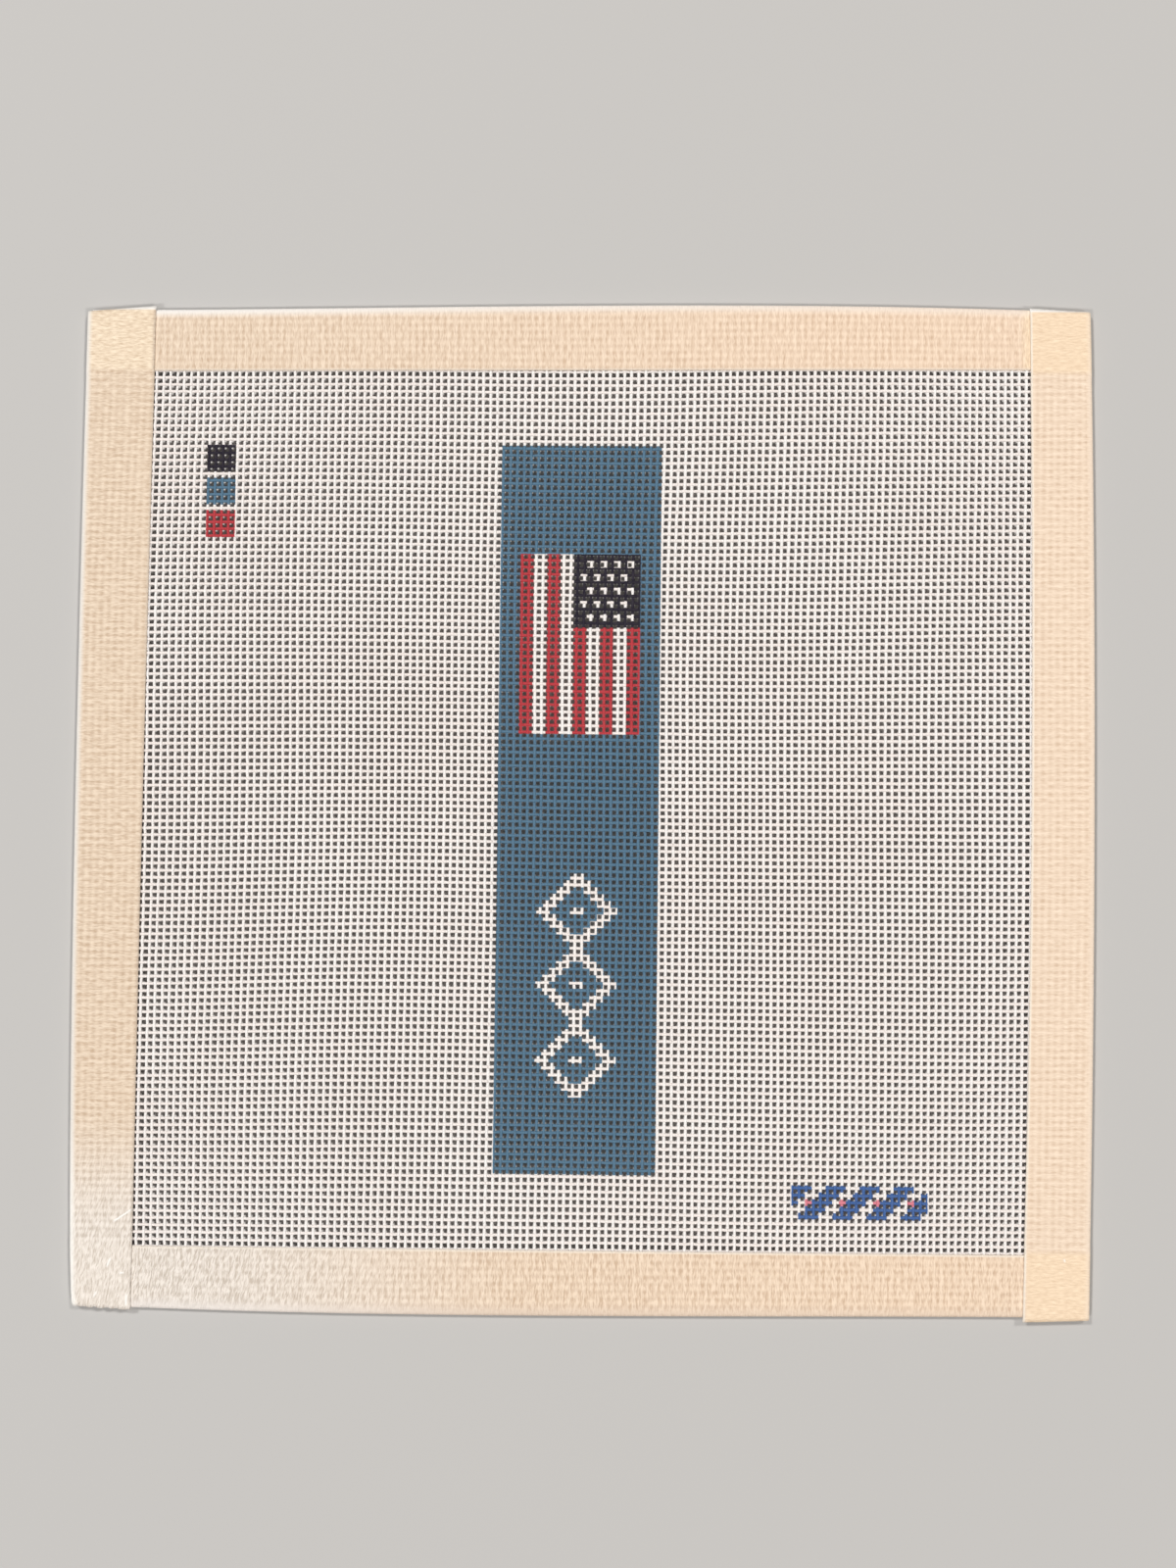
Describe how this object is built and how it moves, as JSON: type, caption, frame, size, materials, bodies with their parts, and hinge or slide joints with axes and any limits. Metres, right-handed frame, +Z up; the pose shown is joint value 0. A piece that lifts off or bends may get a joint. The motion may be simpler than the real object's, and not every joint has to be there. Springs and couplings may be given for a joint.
{
  "type": "needlepoint canvas panel",
  "caption": "Square of open even-weave canvas with a printed strip design, lying flat, its edges bound with folded paper tape.",
  "frame": {"origin": "bottom centre of the panel's box, on the surface it lies on", "axes": "+X to the panel's right along its top edge, +Y up the panel, +Z up from the surface, out of the printed face"},
  "size_m": [0.2042, 0.2022, 0.0049],
  "materials": {
    "canvas": "stiffened cotton canvas, matt, with a printed design",
    "binding_tape": "crepe paper tape, satin"
  },
  "bodies": {
    "root": {"canvas": "canvas", "tape_top": "binding_tape", "tape_bottom": "binding_tape", "tape_left": "binding_tape", "tape_right": "binding_tape"}
  },
  "joints": []
}
